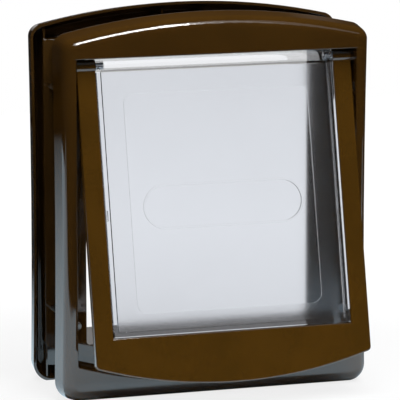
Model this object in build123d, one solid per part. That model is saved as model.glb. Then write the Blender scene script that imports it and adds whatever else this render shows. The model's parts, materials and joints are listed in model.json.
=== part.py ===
from build123d import *
import os

# A pet door: two hollow moulded frames that clamp a door between them, a tunnel that lines the
# hole, and a two-part flap that hangs from pivot pins in the front frame.
# X runs to the right, Y runs into the door and Z runs up, in millimetres.
# Y = 0 is the face of the door under the front frame, and Z = 0 is the foot of both frames.

# Outline that both frames share
frame_width = 294.0
frame_height = 347.5
head_rise = 18.0
side_waist = 1.8
shoulder_radius = 14.0
foot_radius = 18.0
foot_trim = 1.0

# Section of the flange, a hollow moulding that is open towards the door
door_thickness = 74.5
flange_depth = 25.5
mould_draft = 8.0
flange_roll = 10.0
wall = 2.6
lip_radius = 0.8
rib_thickness = 1.6
rib_setback = 4.0
middle_rib_pitch = 41.0

# Opening in the flange, with a dipped lower edge and a stop ledge at its back
side_rim = 15.5
head_rim = 18.1
opening_foot = 34.0
opening_dip = 20.0
opening_corner = 3.0
ledge_setback = 5.0

# Tunnel through the door: the rear tube slides over the front tube
ledge_width = 13.5
sill_height = 15.5
tunnel_corner = 3.0
slide_clearance = 0.4
front_tube_reach = 50.0
rear_tube_start = 14.0

# Hinge of the flap, on a pin at each side
hinge_y = -12.0
hinge_drop = 7.9
pin_radius = 3.0
running_clearance = 0.05
knuckle_radius = 6.0
pin_end_gap = 0.5
pin_socket_depth = 6.5
pin_into_window = 7.0
boss_end_wall = 2.0

# Flap, hung a little open
open_angle = 13.0
flap_side_gap = 2.5
flap_foot_gap = 1.5
surround_front = 4.0
surround_back = 3.0
surround_arm = 17.4
surround_bar = 25.8
surround_skin = 2.2
surround_corner = 4.0
surround_edge = 1.2
surround_rib_pitch = 42.0
surround_bar_ribs = 5

# Clear window of the flap, a tray with a thick rim and a round bar along its top
window_gap = 0.6
window_front = 4.6
rim_width = 4.2
pane_thickness = 2.4
rim_edge = 0.5
panel_inset = 20.0
panel_head = 26.0
panel_foot = 19.6
panel_corner = 9.0
panel_depth = 0.7
badge_side_gap = 11.8
badge_height = 40.0
badge_below_middle = 4.0
badge_line = 1.6
badge_proud = 0.8
lug_drop = 133.5
lug_height = 9.0
lug_reach = 4.5
lug_root = 3.0
lug_thickness = 2.2
lug_gap = 0.3

# Closing magnets
magnet_width = 40.0
magnet_height = 10.0
magnet_rise = 3.5
magnet_wall = 2.5
magnet_cover = 1.4
magnet_clearance = 0.2
sill_magnet_thickness = 2.2

# Pile strips and stop pads on the ledge
seal_gap = 0.4
pile_width = 4.0
pile_edge_gap = 1.3
pile_end_gap = 8.0
sill_pile_inset = 14.0
sill_pile_drop = 3.5
pad_width = 10.0
pad_height = 7.0
pad_inset = 28.0
pad_drop = 10.5

# Through fixings: a screw from the rear into a sleeve nut from the front, beside the tunnel
fixing_rise = 18.0
fixing_drop = 37.4
fixing_beside = 9.0
nut_radius = 3.0
nut_head_radius = 3.9
nut_head = 1.4
nut_length = 48.0
screw_radius = 2.0
screw_head_radius = 3.6
screw_head = 2.4
screw_bevel = 0.9
screw_engagement = 20.0
washer_radius = 4.0
washer_thickness = 0.8
fixing_clearance = 0.2
drive_width = 1.0
drive_length = 4.4
drive_depth = 1.2
slot_depth = 0.6

# Sizes that follow from those above
frame_half = frame_width / 2
shoulder_height = frame_height - head_rise
hollow_bevel = (2 - 2**0.5) * (flange_roll - wall)
opening_half = frame_half - side_rim
opening_top = shoulder_height - head_rim
ledge_back = ledge_setback - wall
tunnel_half = opening_half - ledge_width
tunnel_floor = opening_foot + sill_height
tube_step = wall + slide_clearance
rear_opening_top = opening_top + tube_step
rear_ledge = door_thickness + ledge_setback
hinge_z = opening_top - hinge_drop
surround_half = opening_half - flap_side_gap
surround_inner = surround_half - surround_arm
surround_foot = opening_foot + flap_foot_gap
bar_top = surround_foot + surround_bar
window_half = surround_inner - window_gap
window_foot = bar_top + window_gap
panel_half = window_half - rim_width - panel_inset
panel_height = hinge_z - panel_head - window_foot - panel_foot
panel_middle = window_foot + panel_foot + panel_height / 2
badge_width = 2 * (panel_half - badge_side_gap)
magnet_middle = opening_foot + magnet_rise
seal_thickness = -ledge_setback - (hinge_y + surround_back) - seal_gap
fixing_low = tunnel_floor + fixing_rise
fixing_high = opening_top - fixing_drop
fixing_offset = tunnel_half + fixing_beside
sides = (-1, 1)


def prism(outline, start, end):
    """Extrudes an outline drawn in X and Z from one Y to another."""
    return extrude(Plane.XZ.offset(-start) * outline, amount=end - start, dir=(0, 1, 0))


def slab(x_span, y_span, z_span):
    """A block between three pairs of coordinates."""
    spans = (x_span, y_span, z_span)
    middle = [(low + high) / 2 for low, high in spans]
    return Pos(*middle) * Box(*[high - low for low, high in spans])


def crosswise(radius, x_span, y=hinge_y, z=hinge_z):
    """A round bar along X, on the hinge axis unless told otherwise."""
    low, high = x_span
    return Pos((low + high) / 2, y, z) * Rot(0, 90, 0) * Cylinder(radius, high - low)


def lengthwise(radius, y_span, x, z):
    """A round bar along Y."""
    low, high = y_span
    return Pos(x, (low + high) / 2, z) * Rot(90, 0, 0) * Cylinder(radius, high - low)


def hung(piece):
    """Turns a flap piece from closed to the angle at which it hangs open."""
    return piece.rotate(Axis((0, hinge_y, hinge_z), (1, 0, 0)), -open_angle)


def spread(count, pitch):
    """Evenly spaced places about the middle."""
    return [(i - (count - 1) / 2) * pitch for i in range(count)]


def frame_outline(inset):
    """Waisted sides and an arched head, with rounded corners, drawn in from its edge."""
    half, low, high = frame_half - inset, inset - foot_trim, shoulder_height - inset
    waist, middle = half - side_waist, shoulder_height / 2
    foot = Line((-half, low), (half, low))
    right = ThreePointArc((half, low), (waist, middle), (half, high))
    head = ThreePointArc((half, high), (0, frame_height - inset), (-half, high))
    left = ThreePointArc((-half, high), (-waist, middle), (-half, low))
    outline = make_face([foot, right, head, left])
    outline = fillet(outline.vertices().sort_by(Axis.Y)[:2], foot_radius - inset)
    return fillet(outline.vertices().sort_by(Axis.Y)[-2:], shoulder_radius - inset)


def dipped_outline(half, top, foot, dip, corner):
    """Straight top and sides, with a lower edge that dips between its corners."""
    top_edge = Line((half, top), (-half, top))
    left = Line((-half, top), (-half, foot))
    lower = ThreePointArc((-half, foot), (0, foot - dip), (half, foot))
    right = Line((half, foot), (half, top))
    outline = make_face([top_edge, left, lower, right])
    return fillet(outline.vertices().sort_by(Axis.Y)[:2], corner)


def opening_outline(top, grow=0.0):
    """The opening, or the outside of its wall when grown by a wall."""
    return dipped_outline(
        opening_half + grow, top + grow, opening_foot - grow, opening_dip, opening_corner + grow
    )


def drawn(outline, depth):
    """Extrudes an outline forward from the seat, narrowing by the mould's draft."""
    return extrude(Plane.XZ * outline, amount=depth, taper=mould_draft)


def domed_block():
    """The solid shape of a frame, which rolls over to its front face and is trimmed to stand flat."""
    block = drawn(frame_outline(0), flange_depth)
    block = fillet(block.faces().sort_by(Axis.Y)[0].edges(), flange_roll)
    return block - slab((-frame_half, frame_half), (-flange_depth, 0), (-foot_trim, 0))


def domed_hollow():
    """The inside of that shape, a wall in from its skin, with a bevel under the roll."""
    block = drawn(frame_outline(wall), flange_depth - wall)
    return chamfer(block.faces().sort_by(Axis.Y)[0].edges(), hollow_bevel)


def flange_ribs():
    """Upright webs across the hollow of the head and foot, short of the seat."""
    y_span = (-flange_depth, -rib_setback)
    corner_rib = opening_half + wall / 2
    ribs = []
    for side in sides:
        for x in (side * middle_rib_pitch / 2, side * corner_rib):
            x_span = (x - rib_thickness / 2, x + rib_thickness / 2)
            ribs += [slab(x_span, y_span, (opening_top, frame_height))]
            ribs += [slab(x_span, y_span, (0, opening_foot))]
    return Compound(ribs)


def flange(top):
    """One frame's flange: a domed hollow rim round a recessed opening with a stop ledge."""
    hollow = domed_hollow()
    hollow -= prism(opening_outline(top, wall), -flange_depth, -ledge_back)
    hollow -= flange_ribs()
    rim = domed_block() - hollow
    rim -= prism(opening_outline(top), -2 * flange_depth, -ledge_setback)
    lip = rim.faces().sort_by(Axis.Y)[0].inner_wires()[0].edges()
    return fillet(lip, lip_radius)


def tunnel_outline(grow):
    """Section of the tunnel, grown from the inside of the front tube."""
    width = 2 * (tunnel_half + grow)
    low, high = tunnel_floor - grow, opening_top + grow
    outline = Pos(0, (low + high) / 2) * Rectangle(width, high - low)
    return fillet(outline.vertices().sort_by(Axis.Y)[:2], tunnel_corner + grow)


def fixing_places():
    """X and Z of the four through fixings."""
    return [(side * fixing_offset, z) for side in sides for z in (fixing_low, fixing_high)]


def front_frame():
    """Flange, tunnel tube, pin bosses and holes for the sleeve nuts."""
    body = flange(opening_top)
    body += prism(tunnel_outline(wall), -ledge_setback, front_tube_reach)
    body -= prism(tunnel_outline(0), -flange_depth, 2 * front_tube_reach)
    boss_start = surround_half + pin_end_gap
    socket_end = opening_half + pin_socket_depth
    for side in sides:
        boss = (side * boss_start, side * (socket_end + boss_end_wall))
        socket = (side * boss_start, side * socket_end)
        body += crosswise(knuckle_radius, sorted(boss))
        body -= crosswise(pin_radius + running_clearance, sorted(socket))
    for x, z in fixing_places():
        body -= lengthwise(nut_radius + fixing_clearance, (-flange_depth / 2, 0), x, z)
    return body


def rear_frame():
    """A mirrored flange whose tunnel tube slides over the front one."""
    body = flange(rear_opening_top)
    tube_end = door_thickness - rear_tube_start
    body += prism(tunnel_outline(tube_step + wall), -ledge_setback, tube_end)
    body -= prism(tunnel_outline(tube_step), -flange_depth, 2 * tube_end)
    for x, z in fixing_places():
        body -= lengthwise(screw_radius + fixing_clearance, (-flange_depth / 2, 0), x, z)
    return body.mirror(Plane.XZ.offset(-door_thickness / 2))


def surround_outline(inset):
    """The U of the surround, drawn in from its edges."""
    outer = dipped_outline(
        surround_half - inset,
        hinge_z,
        surround_foot + inset,
        opening_dip,
        surround_corner - inset,
    )
    inner_half = surround_inner + inset
    low, high = bar_top - inset, hinge_z + knuckle_radius
    return outer - Pos(0, (low + high) / 2) * Rectangle(2 * inner_half, high - low)


def flap_surround():
    """The U that frames the window: a ribbed channel with a knuckle on each arm."""
    front, back = hinge_y - surround_front, hinge_y + surround_back
    skin_back = front + surround_skin
    body = prism(surround_outline(0), front, back)
    body = fillet(body.faces().sort_by(Axis.Y)[0].edges(), surround_edge)
    hollow = prism(surround_outline(surround_skin), skin_back, back)
    half_rib = rib_thickness / 2
    drop = surround_rib_pitch / 2
    while hinge_z - drop > bar_top:
        z = hinge_z - drop
        hollow -= slab((-surround_half, surround_half), (skin_back, back), (z - half_rib, z + half_rib))
        drop += surround_rib_pitch
    for x in spread(surround_bar_ribs, surround_rib_pitch):
        hollow -= slab((x - half_rib, x + half_rib), (skin_back, back), (0, bar_top))
    hollow -= magnet_box(skin_back, back - magnet_cover, magnet_wall)
    body -= hollow
    body -= magnet_box(skin_back, back, magnet_clearance)
    body -= magnet_box(back - magnet_cover, back, magnet_wall + magnet_clearance)
    for side in sides:
        arm = sorted((side * surround_inner, side * surround_half))
        body += crosswise(knuckle_radius, arm)
        body -= crosswise(pin_radius + running_clearance, arm)
    return hung(body)


def magnet_box(start, end, grow):
    """The place of a magnet at the middle of the lower bar or sill, grown all round."""
    half_width, half_height = magnet_width / 2 + grow, magnet_height / 2 + grow
    z_span = (magnet_middle - half_height, magnet_middle + half_height)
    return slab((-half_width, half_width), (start, end), z_span)


def surround_magnet():
    """Bar magnet in the box on the back of the lower bar."""
    front = hinge_y - surround_front + surround_skin
    return hung(magnet_box(front, hinge_y + surround_back - magnet_cover, 0))


def magnet_lid():
    """Lid that closes the magnet's box flush with the back of the bar."""
    back = hinge_y + surround_back
    return hung(magnet_box(back - magnet_cover, back, magnet_wall))


def flap_window():
    """The clear tray with its rim, raised panel, blank oval badge, bored top bar and stop lugs."""
    front, back = hinge_y - window_front, hinge_y + surround_back
    pane_front = back - pane_thickness
    body = slab((-window_half, window_half), (front, back), (window_foot, hinge_z))
    body = fillet(body.faces().sort_by(Axis.Y)[0].edges(), rim_edge)
    inner = window_half - rim_width
    tray = (window_foot + rim_width, hinge_z + knuckle_radius)
    body -= slab((-inner, inner), (front, pane_front), tray)
    panel = RectangleRounded(2 * panel_half, panel_height, panel_corner)
    body += prism(Pos(0, panel_middle) * panel, pane_front - panel_depth, pane_front)
    badge_face = pane_front - panel_depth
    badge = SlotOverall(badge_width, badge_height)
    badge -= SlotOverall(badge_width - 2 * badge_line, badge_height - 2 * badge_line)
    badge_middle = panel_middle - badge_below_middle
    body += prism(Pos(0, badge_middle) * badge, badge_face - badge_proud, badge_face)
    lug_z = hinge_z - lug_drop
    lug_span = (lug_z - lug_height / 2, lug_z + lug_height / 2)
    lug_front = back + lug_gap
    for side in sides:
        root = sorted((side * (window_half - lug_root), side * window_half))
        body += slab(root, (back, lug_front), lug_span)
        lug = sorted((side * (window_half - lug_root), side * (window_half + lug_reach)))
        body += slab(lug, (lug_front, lug_front + lug_thickness), lug_span)
    body += crosswise(knuckle_radius, (-window_half, window_half))
    bore_start = window_half - pin_into_window - pin_end_gap
    for side in sides:
        bore = sorted((side * bore_start, side * window_half))
        body -= crosswise(pin_radius + running_clearance, bore)
    return hung(body)


def pivot_pin(side):
    """Pin from the frame's boss through the surround's knuckle into the window's top bar."""
    outer = opening_half + pin_socket_depth
    inner = window_half - pin_into_window
    return crosswise(pin_radius, sorted((side * inner, side * outer)))


def side_pile(side):
    """Pile draught strip on the ledge, between the two fixings of one side."""
    outer = opening_half - pile_edge_gap
    x_span = sorted((side * (outer - pile_width), side * outer))
    z_span = (fixing_low + pile_end_gap, fixing_high - pile_end_gap)
    return slab(x_span, (-ledge_setback - seal_thickness, -ledge_setback), z_span)


def sill_pile():
    """Pile draught strip along the sill, under the tunnel's mouth."""
    top = tunnel_floor - sill_pile_drop
    half = tunnel_half - sill_pile_inset
    x_span = (-half, half)
    return slab(x_span, (-ledge_setback - seal_thickness, -ledge_setback), (top - pile_width, top))


def stop_pad(side):
    """Soft pad on the sill that quiets the closing flap."""
    top = tunnel_floor - pad_drop
    x = side * (tunnel_half - pad_inset)
    x_span = (x - pad_width / 2, x + pad_width / 2)
    pad = slab(x_span, (-ledge_setback - seal_thickness, -ledge_setback), (top - pad_height, top))
    return fillet(pad.faces().sort_by(Axis.Y)[0].edges(), seal_thickness / 3)


def sill_magnet():
    """Bar magnet behind the sill, opposite the one in the closed flap."""
    return magnet_box(-ledge_back, -ledge_back + sill_magnet_thickness, 0)


def sleeve_nut(x, z):
    """Long sleeve nut with a thin head on the front ledge."""
    seat = -ledge_setback
    tip = seat + nut_length
    nut = lengthwise(nut_head_radius, (seat - nut_head, seat), x, z)
    nut += lengthwise(nut_radius, (seat, tip), x, z)
    nut -= lengthwise(screw_radius + running_clearance, (tip - screw_engagement - wall, tip), x, z)
    x_span = (x - drive_length / 2, x + drive_length / 2)
    z_span = (z - drive_width / 2, z + drive_width / 2)
    return nut - slab(x_span, (seat - nut_head, seat - nut_head + slot_depth), z_span)


def screw_washer(x, z):
    """Washer under the head of a screw, on the rear ledge."""
    y_span = (rear_ledge, rear_ledge + washer_thickness)
    ring = lengthwise(washer_radius, y_span, x, z)
    return ring - lengthwise(screw_radius + fixing_clearance, y_span, x, z)


def frame_screw(x, z):
    """Pan-headed screw from the rear ledge into its sleeve nut."""
    seat = rear_ledge + washer_thickness
    top = seat + screw_head
    tip = -ledge_setback + nut_length - screw_engagement
    screw = lengthwise(screw_radius, (tip, seat), x, z)
    head = lengthwise(screw_head_radius, (seat, top), x, z)
    screw += chamfer(head.edges().sort_by(Axis.Y)[-1:], screw_bevel)
    for half_x, half_z in ((drive_length, drive_width), (drive_width, drive_length)):
        x_span = (x - half_x / 2, x + half_x / 2)
        screw -= slab(x_span, (top - drive_depth, top), (z - half_z / 2, z + half_z / 2))
    return screw


def at_fixings(make):
    """The same piece at each of the four fixings, as separate solids of one node."""
    return Compound([make(x, z) for x, z in fixing_places()])


nodes = {
    "front_frame": front_frame(),
    "rear_frame": rear_frame(),
    "flap_surround": flap_surround(),
    "surround_magnet": surround_magnet(),
    "magnet_lid": magnet_lid(),
    "flap_window": flap_window(),
    "left_pivot_pin": pivot_pin(-1),
    "right_pivot_pin": pivot_pin(1),
    "left_pile_strip": side_pile(-1),
    "right_pile_strip": side_pile(1),
    "sill_pile_strip": sill_pile(),
    "left_stop_pad": stop_pad(-1),
    "right_stop_pad": stop_pad(1),
    "sill_magnet": sill_magnet(),
    "sleeve_nuts": at_fixings(sleeve_nut),
    "screw_washers": at_fixings(screw_washer),
    "frame_screws": at_fixings(frame_screw),
}

os.makedirs("parts", exist_ok=True)
for name, piece in nodes.items():
    export_step(piece, f"parts/{name}.step")
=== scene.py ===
import json
import math
import random

import bpy
from mathutils import Matrix, Vector

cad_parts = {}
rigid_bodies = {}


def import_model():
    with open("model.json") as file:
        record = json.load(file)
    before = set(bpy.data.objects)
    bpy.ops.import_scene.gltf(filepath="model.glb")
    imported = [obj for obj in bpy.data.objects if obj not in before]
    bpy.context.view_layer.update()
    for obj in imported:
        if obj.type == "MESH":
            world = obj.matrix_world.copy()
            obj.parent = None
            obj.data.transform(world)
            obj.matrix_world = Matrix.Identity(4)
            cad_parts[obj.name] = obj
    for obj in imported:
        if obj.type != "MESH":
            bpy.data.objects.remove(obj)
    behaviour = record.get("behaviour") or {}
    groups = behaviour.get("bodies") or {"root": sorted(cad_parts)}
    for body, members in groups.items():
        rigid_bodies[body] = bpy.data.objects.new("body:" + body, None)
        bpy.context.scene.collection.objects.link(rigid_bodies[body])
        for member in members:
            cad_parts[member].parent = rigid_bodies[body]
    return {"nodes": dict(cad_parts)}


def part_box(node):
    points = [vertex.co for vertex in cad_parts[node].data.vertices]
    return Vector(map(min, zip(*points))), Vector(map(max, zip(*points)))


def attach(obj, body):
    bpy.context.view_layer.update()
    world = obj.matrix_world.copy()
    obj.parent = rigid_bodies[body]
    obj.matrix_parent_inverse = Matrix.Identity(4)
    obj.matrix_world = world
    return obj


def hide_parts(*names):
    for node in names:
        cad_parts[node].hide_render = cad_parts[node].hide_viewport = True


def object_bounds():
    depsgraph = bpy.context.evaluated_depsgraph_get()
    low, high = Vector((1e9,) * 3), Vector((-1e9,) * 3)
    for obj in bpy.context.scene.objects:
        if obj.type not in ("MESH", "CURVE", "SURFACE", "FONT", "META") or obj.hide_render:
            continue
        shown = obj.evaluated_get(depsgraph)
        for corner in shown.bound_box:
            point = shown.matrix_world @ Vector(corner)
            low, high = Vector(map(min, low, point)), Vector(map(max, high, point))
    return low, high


# The start-up objects would count as part of the pet door, so the file is emptied first.
for leftover in list(bpy.data.objects):
    bpy.data.objects.remove(leftover)
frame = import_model()
built_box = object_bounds()


# Front frame
# One hollow moulding in polished dark brown plastic, coloured in the mass. It is screwed against
# the door leaf, and its rolled rim carries the studio's reflections.
FRAME_PIGMENT = (0.047, 0.021, 0.003, 1.0)
FRAME_GLOSS = 0.05
MOULDED_IOR = 1.85
MOULDED_EDGE = 0.0006
EDGE_SAMPLES = 4
DRIFT_SCALE, RIPPLE_SCALE, SPECK_SCALE = 17.0, 140.0, 2600.0
PIGMENT_DRIFT, PIGMENT_SPECK = (0.88, 1.12), (0.94, 1.06)
HANDLING_HAZE = (-0.01, 0.015)
SPECK_HEIGHT = 0.12
RIPPLE_BUMP, RIPPLE_DEPTH = 0.02, 0.0002
NOISE_SPAN = (0.3, 0.7)


def add(tree, kind, inputs=None, **settings):
    """A shader node with its settings, and with values or links for its inputs."""
    made = tree.nodes.new("ShaderNode" + kind)
    for key, value in settings.items():
        setattr(made, key, value)
    for key, value in (inputs or {}).items():
        if isinstance(value, bpy.types.NodeSocket):
            tree.links.new(value, made.inputs[key])
        else:
            made.inputs[key].default_value = value
    return made


def calc(tree, operation, first, second, **settings):
    """The result of one calculation on two values."""
    return add(tree, "Math", {0: first, 1: second}, operation=operation, **settings).outputs[0]


def product(tree, *values):
    """All the values multiplied together."""
    whole = values[0]
    for value in values[1:]:
        whole = calc(tree, "MULTIPLY", whole, value)
    return whole


def remap(tree, value, span, to=(0.0, 1.0)):
    """A value carried from one range to another and kept inside it."""
    ends = {"From Min": span[0], "From Max": span[1], "To Min": to[0], "To Max": to[1]}
    return add(tree, "MapRange", {"Value": value, **ends}).outputs[0]


def noise(tree, place, scale, detail):
    """A cloudy value. The scale counts its clouds to the metre."""
    return add(tree, "TexNoise", {"Vector": place, "Scale": scale, "Detail": detail}).outputs[0]


def vary(tree, value, to):
    """Stretches a noise value, which keeps near its middle, over a range."""
    return remap(tree, value, NOISE_SPAN, to)


def shade(tree, colour, factor):
    """A colour made lighter or darker."""
    return add(tree, "HueSaturation", {"Color": colour, "Value": factor}).outputs[0]


def relief(tree, height, strength, depth, edge_radius=0.0):
    """A normal that follows a fine height, over softened edges where a radius is given."""
    bump = add(tree, "Bump", {"Height": height, "Strength": strength, "Distance": depth})
    if edge_radius:
        edge = add(tree, "Bevel", {"Radius": edge_radius}, samples=EDGE_SAMPLES)
        tree.links.new(edge.outputs[0], bump.inputs["Normal"])
    return bump.outputs[0]


def effect(name, takes, gives):
    """A node group with those sockets, and its own input and output sockets."""
    tree = bpy.data.node_groups.new(name, "ShaderNodeTree")
    for label, kind in takes:
        tree.interface.new_socket(label, in_out="INPUT", socket_type="NodeSocket" + kind)
    for label, kind in gives:
        tree.interface.new_socket(label, in_out="OUTPUT", socket_type="NodeSocket" + kind)
    start = tree.nodes.new("NodeGroupInput")
    end = tree.nodes.new("NodeGroupOutput")
    return tree, start.outputs, end.inputs


def use(tree, group, values):
    """The outputs of a shared effect, with its own values."""
    placed = add(tree, "Group", node_tree=group)
    for key, value in values.items():
        placed.inputs[key].default_value = value
    return placed.outputs


def surface(name):
    """A new material: itself, its tree and its shader."""
    material = bpy.data.materials.new(name)
    material.use_nodes = True
    return material, material.node_tree, material.node_tree.nodes["Principled BSDF"]


def cover(tree, shader, colour, roughness, normal):
    """Joins a colour, a roughness and a normal to a material's shader."""
    tree.links.new(colour, shader.inputs["Base Color"])
    tree.links.new(roughness, shader.inputs["Roughness"])
    tree.links.new(normal, shader.inputs["Normal"])


def dress(node, material):
    """Puts a material in the object's own slot of a node."""
    slot = frame["nodes"][node].material_slots[0]
    slot.link = "OBJECT"
    slot.material = material


def moulded_skin():
    """Plastic coloured in the mass: slow drift of its pigment, faint ripple and handling haze."""
    tree, takes, gives = effect(
        "Moulded skin",
        [("Pigment", "Color"), ("Gloss", "Float")],
        [("Colour", "Color"), ("Roughness", "Float"), ("Height", "Float")],
    )
    place = add(tree, "TexCoord").outputs["Object"]
    drift = noise(tree, place, DRIFT_SCALE, detail=3.0)
    ripple = noise(tree, place, RIPPLE_SCALE, detail=1.0)
    speck = noise(tree, place, SPECK_SCALE, detail=2.0)
    tone = product(tree, vary(tree, drift, PIGMENT_DRIFT), vary(tree, speck, PIGMENT_SPECK))
    haze = vary(tree, ripple, HANDLING_HAZE)
    height = calc(tree, "ADD", ripple, product(tree, speck, SPECK_HEIGHT))
    tree.links.new(shade(tree, takes["Pigment"], tone), gives["Colour"])
    tree.links.new(calc(tree, "ADD", takes["Gloss"], haze, use_clamp=True), gives["Roughness"])
    tree.links.new(height, gives["Height"])
    return tree


def moulding(name, pigment, gloss):
    """Brown plastic with a soft moulded edge that catches the light."""
    material, tree, shader = surface(name)
    look = use(tree, skin, {"Pigment": pigment, "Gloss": gloss})
    normal = relief(tree, look["Height"], RIPPLE_BUMP, RIPPLE_DEPTH, MOULDED_EDGE)
    cover(tree, shader, look["Colour"], look["Roughness"], normal)
    shader.inputs["IOR"].default_value = MOULDED_IOR
    return material


skin = moulded_skin()
dress("front_frame", moulding("Front frame plastic", FRAME_PIGMENT, FRAME_GLOSS))


# Rear frame
# The second moulding from the same plastic. Its tube slides over the front one and screws draw it
# up against the inside of the door. It is a shade greyer, with more haze from handling.
REAR_PIGMENT = (0.043, 0.021, 0.005, 1.0)
REAR_GLOSS = 0.07
dress("rear_frame", moulding("Rear frame plastic", REAR_PIGMENT, REAR_GLOSS))


# Flap surround and magnet lid
# The U that frames the window hangs on the pivot pins. Its brown is lighter than the frames' as painted
# light, for the extra light that its upward-tilted face catches.
# The lid is a small plate pressed into the back of its lower bar, over the magnet.
SURROUND_LIT_PIGMENT = (0.064, 0.029, 0.003, 1.0)
SURROUND_GLOSS = 0.06
LID_PIGMENT = (0.060, 0.029, 0.005, 1.0)
LID_GLOSS = 0.22
dress("flap_surround", moulding("Surround plastic", SURROUND_LIT_PIGMENT, SURROUND_GLOSS))
dress("magnet_lid", moulding("Magnet lid plastic", LID_PIGMENT, LID_GLOSS))


# Flap window
# A clear acrylic tray that hangs inside the surround from a round bar along its top. Rim and bar are
# polished. The back of the pane is satin, with a grained border round a raised panel. Places are those
# of the closed flap, and part of the light goes straight through the bar, as through a clear rod.
WINDOW_TINT = (0.69, 0.713, 0.76, 1.0)
ACRYLIC_IOR = 1.49
HINGE = (0.0, -0.012, 0.3035)
OPEN_ANGLE = math.radians(13)
PANE_HALF = 0.1066
PANE_LOW, PANE_HIGH = 0.0663, 0.2975
PANE_BACK = -0.0096
PANEL_HALF = 0.0868
PANEL_LOW, PANEL_HIGH = 0.0815, 0.2775
GRAINED, SATIN, POLISH = 0.24, 0.14, 0.03
BAR_BODY = 0.45
CLOUD_SCALE = 22.0
TINT_DRIFT, SATIN_DRIFT = (0.99, 1.01), (0.9, 1.1)
BORDER_SCALE, BORDER_BUMP, BORDER_DEPTH = 330.0, 0.12, 0.0003
RIM_EDGE = 0.0005
OFF_ON = (0.0, 1.0)


def between(tree, value, low, high):
    """One inside a range and nothing outside it."""
    return product(tree, calc(tree, "GREATER_THAN", value, low), calc(tree, "LESS_THAN", value, high))


def oblong(tree, spot, half, low, high):
    """One inside an upright oblong of the closed flap and nothing outside it."""
    return product(tree, between(tree, spot["X"], -half, half), between(tree, spot["Z"], low, high))


material, tree, shader = surface("Clear acrylic")
place = add(tree, "TexCoord").outputs["Object"]
swing = {"Vector": place, "Center": HINGE, "Angle": OPEN_ANGLE}
closed = add(tree, "VectorRotate", swing, rotation_type="X_AXIS").outputs[0]
spot = add(tree, "SeparateXYZ", {0: closed}).outputs
on_back = calc(tree, "GREATER_THAN", spot["Y"], PANE_BACK)
satin = product(tree, oblong(tree, spot, PANE_HALF, PANE_LOW, PANE_HIGH), on_back)
panel = oblong(tree, spot, PANEL_HALF, PANEL_LOW, PANEL_HIGH)
border = calc(tree, "SUBTRACT", satin, panel, use_clamp=True)
cloud = noise(tree, closed, CLOUD_SCALE, detail=3.0)
smooth = remap(tree, satin, OFF_ON, (POLISH, SATIN))
rough = remap(tree, border, OFF_ON, (smooth, GRAINED))
haze = product(tree, rough, vary(tree, cloud, SATIN_DRIFT))
tint = shade(tree, WINDOW_TINT, vary(tree, cloud, TINT_DRIFT))
grain = product(tree, noise(tree, closed, BORDER_SCALE, detail=1.0), border)
cover(tree, shader, tint, haze, relief(tree, grain, BORDER_BUMP, BORDER_DEPTH, RIM_EDGE))
bar = calc(tree, "GREATER_THAN", spot["Z"], PANE_HIGH)
tree.links.new(remap(tree, bar, OFF_ON, (1.0, BAR_BODY)), shader.inputs["Alpha"])
shader.inputs["IOR"].default_value = ACRYLIC_IOR
shader.inputs["Transmission Weight"].default_value = 1.0
dress("flap_window", material)


# Pivot pins and through fixings
# Steel pins sit fast in the frame's bosses. Sleeve nuts from the front and screws from the rear,
# all bright zinc plated, draw the two frames together through the door.
STEEL, STEEL_POLISH = (0.60, 0.61, 0.63, 1.0), 0.24
ZINC, ZINC_POLISH = (0.66, 0.68, 0.70, 1.0), 0.28
PLATING_SCALE = 320.0
PLATING_CLOUD, PLATING_BLOOM = (0.82, 1.06), (-0.05, 0.12)
TURNING_SQUEEZE = (300.0, 4200.0, 300.0)
TURNING_BUMP, TURNING_DEPTH = 0.15, 0.0001
TURNED_EDGE = 0.0002


def plated_metal():
    """Turned metal under a thin plating: fine turning lines, cloudy plating and a dull bloom."""
    tree, takes, gives = effect(
        "Plated metal",
        [("Metal", "Color"), ("Polish", "Float")],
        [("Colour", "Color"), ("Roughness", "Float"), ("Height", "Float")],
    )
    place = add(tree, "TexCoord").outputs["Object"]
    cloud = noise(tree, place, PLATING_SCALE, detail=4.0)
    bloom = vary(tree, cloud, PLATING_BLOOM)
    squeezed = add(tree, "Mapping", {"Vector": place, "Scale": TURNING_SQUEEZE}).outputs[0]
    tree.links.new(shade(tree, takes["Metal"], vary(tree, cloud, PLATING_CLOUD)), gives["Colour"])
    tree.links.new(calc(tree, "ADD", takes["Polish"], bloom, use_clamp=True), gives["Roughness"])
    tree.links.new(noise(tree, squeezed, scale=1.0, detail=2.0), gives["Height"])
    return tree


def metal(name, colour, polish):
    """Plated steel with softly broken edges."""
    material, tree, shader = surface(name)
    look = use(tree, plating, {"Metal": colour, "Polish": polish})
    normal = relief(tree, look["Height"], TURNING_BUMP, TURNING_DEPTH, TURNED_EDGE)
    cover(tree, shader, look["Colour"], look["Roughness"], normal)
    shader.inputs["Metallic"].default_value = 1.0
    return material


plating = plated_metal()
pin_steel = metal("Ground pin steel", STEEL, STEEL_POLISH)
zinc = metal("Bright zinc plate", ZINC, ZINC_POLISH)
for node in ("left_pivot_pin", "right_pivot_pin"):
    dress(node, pin_steel)
for node in ("sleeve_nuts", "screw_washers", "frame_screws"):
    dress(node, zinc)


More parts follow.
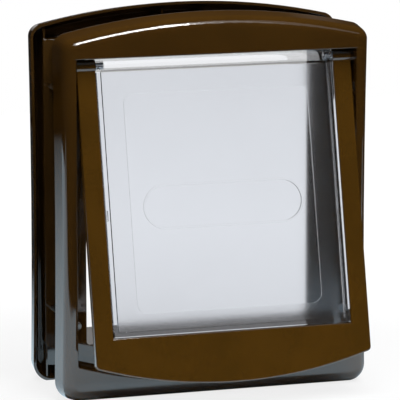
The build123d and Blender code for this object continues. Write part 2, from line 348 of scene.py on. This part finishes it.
# Closing magnets
# Pressed and sintered ferrite bars, one in the box on the flap's lower bar and one glued behind
# the sill. They are grey-black, with an open grain.
FERRITE = (0.045, 0.045, 0.05, 1.0)
FERRITE_SCALE, BLOTCH_SCALE = 1500.0, 130.0
FERRITE_TONE, FERRITE_ROUGHNESS = (0.75, 1.25), (0.5, 0.75)
FERRITE_BUMP, FERRITE_DEPTH = 0.4, 0.0002
material, tree, shader = surface("Sintered ferrite")
place = add(tree, "TexCoord").outputs["Object"]
grain = noise(tree, place, FERRITE_SCALE, detail=4.0)
blotch = noise(tree, place, BLOTCH_SCALE, detail=3.0)
colour = shade(tree, FERRITE, vary(tree, blotch, FERRITE_TONE))
normal = relief(tree, grain, FERRITE_BUMP, FERRITE_DEPTH)
cover(tree, shader, colour, vary(tree, grain, FERRITE_ROUGHNESS), normal)
for node in ("surround_magnet", "sill_magnet"):
    dress(node, material)


# Pile strips
# Draught strips of black polypropylene pile: a woven backing glued to the ledge or sill, with
# rows of tufts that stand towards the closed flap. Each stands for its plain CAD bar.
BACKING_THICKNESS = 0.0008
TUFT_PITCH = 0.0011
TUFT_RADIUS = 0.00045
TUFT_SIDES = 4
TUFT_LEAN = 0.3
TUFT_UNEVEN = 0.12
TUFT_SEED = 7
PILE = (0.016, 0.016, 0.018, 1.0)
FIBRE_SCALE = 900.0
PILE_TONE, PILE_ROUGHNESS = (0.6, 1.5), (0.7, 0.95)
PILE_BUMP, PILE_DEPTH = 0.5, 0.0002


def tuft(points, faces, foot, tip, radius):
    """One bunch of fibres: a slim pyramid from the backing to its tip."""
    first = len(points)
    for k in range(TUFT_SIDES):
        turn = 2 * math.pi * k / TUFT_SIDES
        points.append((foot[0] + radius * math.cos(turn), foot[1], foot[2] + radius * math.sin(turn)))
    points.append(tip)
    for k in range(TUFT_SIDES):
        faces.append((first + k, first + (k + 1) % TUFT_SIDES, first + TUFT_SIDES))


def block(points, faces, low, high):
    """A box between two corners."""
    first = len(points)
    for x in (low[0], high[0]):
        for y in (low[1], high[1]):
            for z in (low[2], high[2]):
                points.append((x, y, z))
    for ring in ((0, 1, 3, 2), (4, 6, 7, 5), (0, 4, 5, 1), (2, 3, 7, 6), (0, 2, 6, 4), (1, 5, 7, 3)):
        faces.append(tuple(first + k for k in ring))


def piece(name, points, faces, material):
    """A mesh object in the frame's own coordinates."""
    mesh = bpy.data.meshes.new(name)
    mesh.from_pydata(points, [], faces)
    mesh.update()
    made = bpy.data.objects.new(name, mesh)
    made.data.materials.append(material)
    bpy.context.scene.collection.objects.link(made)
    return made


def pile_strip(node, chance):
    """A backing with rows of uneven, leaning tufts in the room of a CAD bar."""
    low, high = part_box(node)
    points, faces = [], []
    back = high.y - BACKING_THICKNESS
    block(points, faces, (low.x, back, low.z), tuple(high))
    lift = back - low.y
    rows = round((high.x - low.x) / TUFT_PITCH)
    files = round((high.z - low.z) / TUFT_PITCH)
    for i in range(rows):
        for j in range(files):
            x = low.x + (i + 0.5) * (high.x - low.x) / rows
            z = low.z + (j + 0.5) * (high.z - low.z) / files
            lean_x = chance.uniform(-TUFT_LEAN, TUFT_LEAN)
            lean_z = chance.uniform(-TUFT_LEAN, TUFT_LEAN)
            short = TUFT_UNEVEN * lift * chance.random()
            tip = (x + lean_x * TUFT_PITCH, low.y + short, z + lean_z * TUFT_PITCH)
            tuft(points, faces, (x, back, z), tip, TUFT_RADIUS)
    made = piece(node + "_tufts", points, faces, pile)
    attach(made, "frame")
    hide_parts(node)


pile, tree, shader = surface("Black pile")
place = add(tree, "TexCoord").outputs["Object"]
fibre = noise(tree, place, FIBRE_SCALE, detail=3.0)
colour = shade(tree, PILE, vary(tree, fibre, PILE_TONE))
normal = relief(tree, fibre, PILE_BUMP, PILE_DEPTH)
cover(tree, shader, colour, vary(tree, fibre, PILE_ROUGHNESS), normal)
chance = random.Random(TUFT_SEED)
for node in ("left_pile_strip", "right_pile_strip", "sill_pile_strip"):
    pile_strip(node, chance)


# Stop pads
# Two small self-adhesive rubber pads on the sill, matt black and slightly dusty, that quiet the
# flap as it closes.
RUBBER = (0.024, 0.024, 0.025, 1.0)
DUST_SCALE, RUBBER_SCALE = 420.0, 2400.0
RUBBER_TONE, RUBBER_ROUGHNESS = (0.8, 1.6), (0.65, 0.85)
RUBBER_BUMP, RUBBER_DEPTH = 0.3, 0.0001
material, tree, shader = surface("Matt rubber")
place = add(tree, "TexCoord").outputs["Object"]
dust = noise(tree, place, DUST_SCALE, detail=4.0)
grain = noise(tree, place, RUBBER_SCALE, detail=2.0)
colour = shade(tree, RUBBER, vary(tree, dust, RUBBER_TONE))
normal = relief(tree, grain, RUBBER_BUMP, RUBBER_DEPTH)
cover(tree, shader, colour, vary(tree, dust, RUBBER_ROUGHNESS), normal)
for node in ("left_stop_pad", "right_stop_pad"):
    dress(node, material)


# Floor
# A white table that ends a little in front of the door. To the eye, and through the window, it is
# white and keeps the door's soft shadow. For mirrored rays only it glows as a painted reflection: a
# cool, pale disc that fades to the right and the back and is cut off at the left front. Just before
# the foot it gives way to the lit table, with its true shadow.
FLOOR_LOW, FLOOR_HIGH = (-1.50, -0.43), (1.50, 1.65)
FLOOR_WHITE = (0.90, 0.91, 0.92, 1.0)
FLECK_SCALE, FLECK_TONE = 260.0, (0.98, 1.02)
PURE_WHITE = (1.0, 1.0, 1.0, 1.0)
GLOW_SHARE = 0.85
GLOW_SPAN, GLOW_LEVELS = (0.3, 0.8), (0.97, 1.12)
MIRRORED_WHITE = (0.70, 0.88, 1.0, 1.0)
FADE_SLOPE, FADE_SPAN, FADE_LEVELS = 0.9, (-0.05, 0.48), (1.3, 0.03)
CORNER_SLOPE, CORNER_SPAN = 0.515, (-0.59, -0.51)
DISC_MIDDLE, DISC_EDGE = (0.10, 0.15, 0.0), (1.46, 1.41)
FOOT_SPAN, FOOT_LINE = (-0.26, -0.14), 0.0


def slanting(tree, spot, slope):
    """How far back a place lies, counted from a slanting line through the origin."""
    terms = {0: spot["X"], 1: slope, 2: spot["Y"]}
    return add(tree, "Math", terms, operation="MULTIPLY_ADD").outputs[0]


paper, tree, shader = surface("White table")
tree.nodes.remove(shader)
place = add(tree, "TexCoord").outputs["Object"]
spot = add(tree, "SeparateXYZ", {0: place}).outputs
path = add(tree, "LightPath").outputs

fleck = vary(tree, noise(tree, place, FLECK_SCALE, detail=3.0), FLECK_TONE)
lit = add(tree, "BsdfDiffuse", {"Color": shade(tree, FLOOR_WHITE, fleck)}).outputs[0]
away = add(tree, "VectorMath", {0: place}, operation="LENGTH").outputs["Value"]
bright = remap(tree, away, GLOW_SPAN, GLOW_LEVELS)
glow = add(tree, "Emission", {"Color": PURE_WHITE, "Strength": bright}).outputs[0]
eye = calc(tree, "MAXIMUM", path["Is Camera Ray"], path["Is Transmission Ray"])
seen = add(tree, "MixShader", {0: product(tree, eye, GLOW_SHARE), 1: lit, 2: glow}).outputs[0]

# Painted reflection: for mirrored rays only, the table glows with this graded strength in a cool tint.
fading = remap(tree, slanting(tree, spot, FADE_SLOPE), FADE_SPAN, FADE_LEVELS)
corner = remap(tree, slanting(tree, spot, CORNER_SLOPE), CORNER_SPAN)
outward = add(tree, "VectorMath", {0: place, 1: DISC_MIDDLE}, operation="DISTANCE").outputs["Value"]
level = product(tree, fading, corner, remap(tree, outward, DISC_EDGE))
painted_reflection = add(tree, "Emission", {"Color": MIRRORED_WHITE, "Strength": level}).outputs[0]
shadowed = add(tree, "BsdfDiffuse", {"Color": MIRRORED_WHITE}).outputs[0]
before = calc(tree, "LESS_THAN", spot["Y"], FOOT_LINE)
at_foot = product(tree, remap(tree, spot["Y"], FOOT_SPAN), before)
sheen = add(tree, "MixShader", {0: at_foot, 1: painted_reflection, 2: shadowed}).outputs[0]
mirrored = calc(tree, "SUBTRACT", path["Is Glossy Ray"], path["Is Transmission Ray"], use_clamp=True)
whole = add(tree, "MixShader", {0: mirrored, 1: seen, 2: sheen}).outputs[0]
tree.links.new(whole, tree.nodes["Material Output"].inputs["Surface"])

floor_top = built_box[0].z
floor_points = [
    (FLOOR_LOW[0], FLOOR_LOW[1], floor_top),
    (FLOOR_HIGH[0], FLOOR_LOW[1], floor_top),
    (FLOOR_HIGH[0], FLOOR_HIGH[1], floor_top),
    (FLOOR_LOW[0], FLOOR_HIGH[1], floor_top),
]
floor = piece("White table", floor_points, [(0, 1, 2, 3)], paper)


# Backdrop
# White to the eye and through the window. Light that was mirrored on its way through the window finds
# it white only above the horizon. Polished faces mirror a dark room, but for a pale strip low behind
# the door. The limits are shares of a direction, from none to one.
ROOM_GLOW = 0.012
UNMIRRORED = 0.5
HORIZON = 0.05
STRIP_FOOT, STRIP_TOP = 0.02, (0.30, 0.22)
STRIP_LEFT, STRIP_RIGHT = (-0.05, 0.1), (0.42, 0.34)
STRIP_BACK, STRIP_LEVELS = (0.3, 0.6), (0.0, 0.5)
world = bpy.data.worlds.new("Studio")
bpy.context.scene.world = world
world.use_nodes = True
tree = world.node_tree
path = add(tree, "LightPath").outputs
ahead = add(tree, "SeparateXYZ", {0: add(tree, "TexCoord").outputs["Generated"]}).outputs
straight = calc(tree, "LESS_THAN", path["Glossy Depth"], UNMIRRORED)
above = calc(tree, "GREATER_THAN", ahead["Z"], HORIZON)
through = product(tree, path["Is Transmission Ray"], calc(tree, "MAXIMUM", straight, above))
eye = calc(tree, "MAXIMUM", path["Is Camera Ray"], through)
strip = product(
    tree,
    path["Is Glossy Ray"],
    calc(tree, "GREATER_THAN", ahead["Z"], STRIP_FOOT),
    remap(tree, ahead["Z"], STRIP_TOP),
    remap(tree, ahead["X"], STRIP_LEFT),
    remap(tree, ahead["X"], STRIP_RIGHT),
    remap(tree, ahead["Y"], STRIP_BACK, STRIP_LEVELS),
)
room = calc(tree, "MAXIMUM", strip, ROOM_GLOW)
background = tree.nodes["Background"]
background.inputs["Color"].default_value = PURE_WHITE
tree.links.new(calc(tree, "MAXIMUM", eye, room), background.inputs["Strength"])


# Lights
# A wide overhead softbox and a rear fill light the faces without showing in them. A small softbox in
# front, to the right of the camera, makes the crisp highlight along the head's roll, and three fainter
# wings beside it let that highlight die away to the right.
TARGET = Vector((0.0, -0.02, 0.18))


def softbox(name, azimuth, elevation, distance, size, power, shows):
    """A rectangular lamp that looks at the door. Azimuth counts from straight ahead to the right."""
    lamp = bpy.data.lights.new(name, "AREA")
    lamp.shape = "RECTANGLE"
    lamp.size, lamp.size_y = size
    lamp.energy = power
    made = bpy.data.objects.new(name, lamp)
    around, up = math.radians(azimuth), math.radians(elevation)
    way = Vector((math.sin(around) * math.cos(up), -math.cos(around) * math.cos(up), math.sin(up)))
    made.location = TARGET + distance * way
    made.rotation_mode = "QUATERNION"
    made.rotation_quaternion = (-way).to_track_quat("-Z", "Y")
    made.visible_glossy = shows
    made.visible_camera = False
    made.visible_transmission = False
    bpy.context.scene.collection.objects.link(made)


softbox("Overhead softbox", azimuth=0, elevation=72, distance=1.7, size=(1.4, 1.0), power=32.0, shows=False)
softbox("Front softbox", azimuth=11, elevation=49, distance=2.2, size=(0.50, 0.68), power=16.0, shows=True)
softbox("Front wing", azimuth=20, elevation=49, distance=2.2, size=(0.21, 0.70), power=1.2, shows=True)
softbox("Outer wing", azimuth=27, elevation=49, distance=2.2, size=(0.31, 0.90), power=0.75, shows=True)
softbox("Far wing", azimuth=38, elevation=47, distance=2.2, size=(0.55, 1.0), power=0.8, shows=True)
softbox("Rear fill", azimuth=170, elevation=52, distance=1.9, size=(1.3, 0.8), power=16.0, shows=False)


# Camera
# The place, lens and shift that the photograph's perspective gives, with the lens in millimetres and
# its shift in widths of the picture.
CAMERA_TURN = math.radians(17.97)
CAMERA_DROP = math.radians(10.32)
CAMERA_DISTANCE = 3.00818
CAMERA_TARGET = Vector((0.0, 0.0, 0.170))
SENSOR_WIDTH, FOCAL_LENGTH = 36.0, 298.52
LENS_SHIFT = (-0.0241, 0.01275)
turn_sin, turn_cos = math.sin(CAMERA_TURN), math.cos(CAMERA_TURN)
drop_sin, drop_cos = math.sin(CAMERA_DROP), math.cos(CAMERA_DROP)
onward = Vector((turn_sin * drop_cos, turn_cos * drop_cos, -drop_sin))
rightward = Vector((turn_cos, -turn_sin, 0.0))
upward = Vector((turn_sin * drop_sin, turn_cos * drop_sin, drop_cos))
lens = bpy.data.cameras.new("Photo view")
lens.sensor_fit = "HORIZONTAL"
lens.sensor_width = SENSOR_WIDTH
lens.lens = FOCAL_LENGTH
lens.shift_x, lens.shift_y = LENS_SHIFT
camera = bpy.data.objects.new("Photo view", lens)
turned = Matrix((rightward, upward, -onward)).transposed().to_4x4()
camera.matrix_world = Matrix.Translation(CAMERA_TARGET - CAMERA_DISTANCE * onward) @ turned
bpy.context.scene.collection.objects.link(camera)
bpy.context.scene.camera = camera
bpy.context.scene.view_settings.view_transform = "Standard"
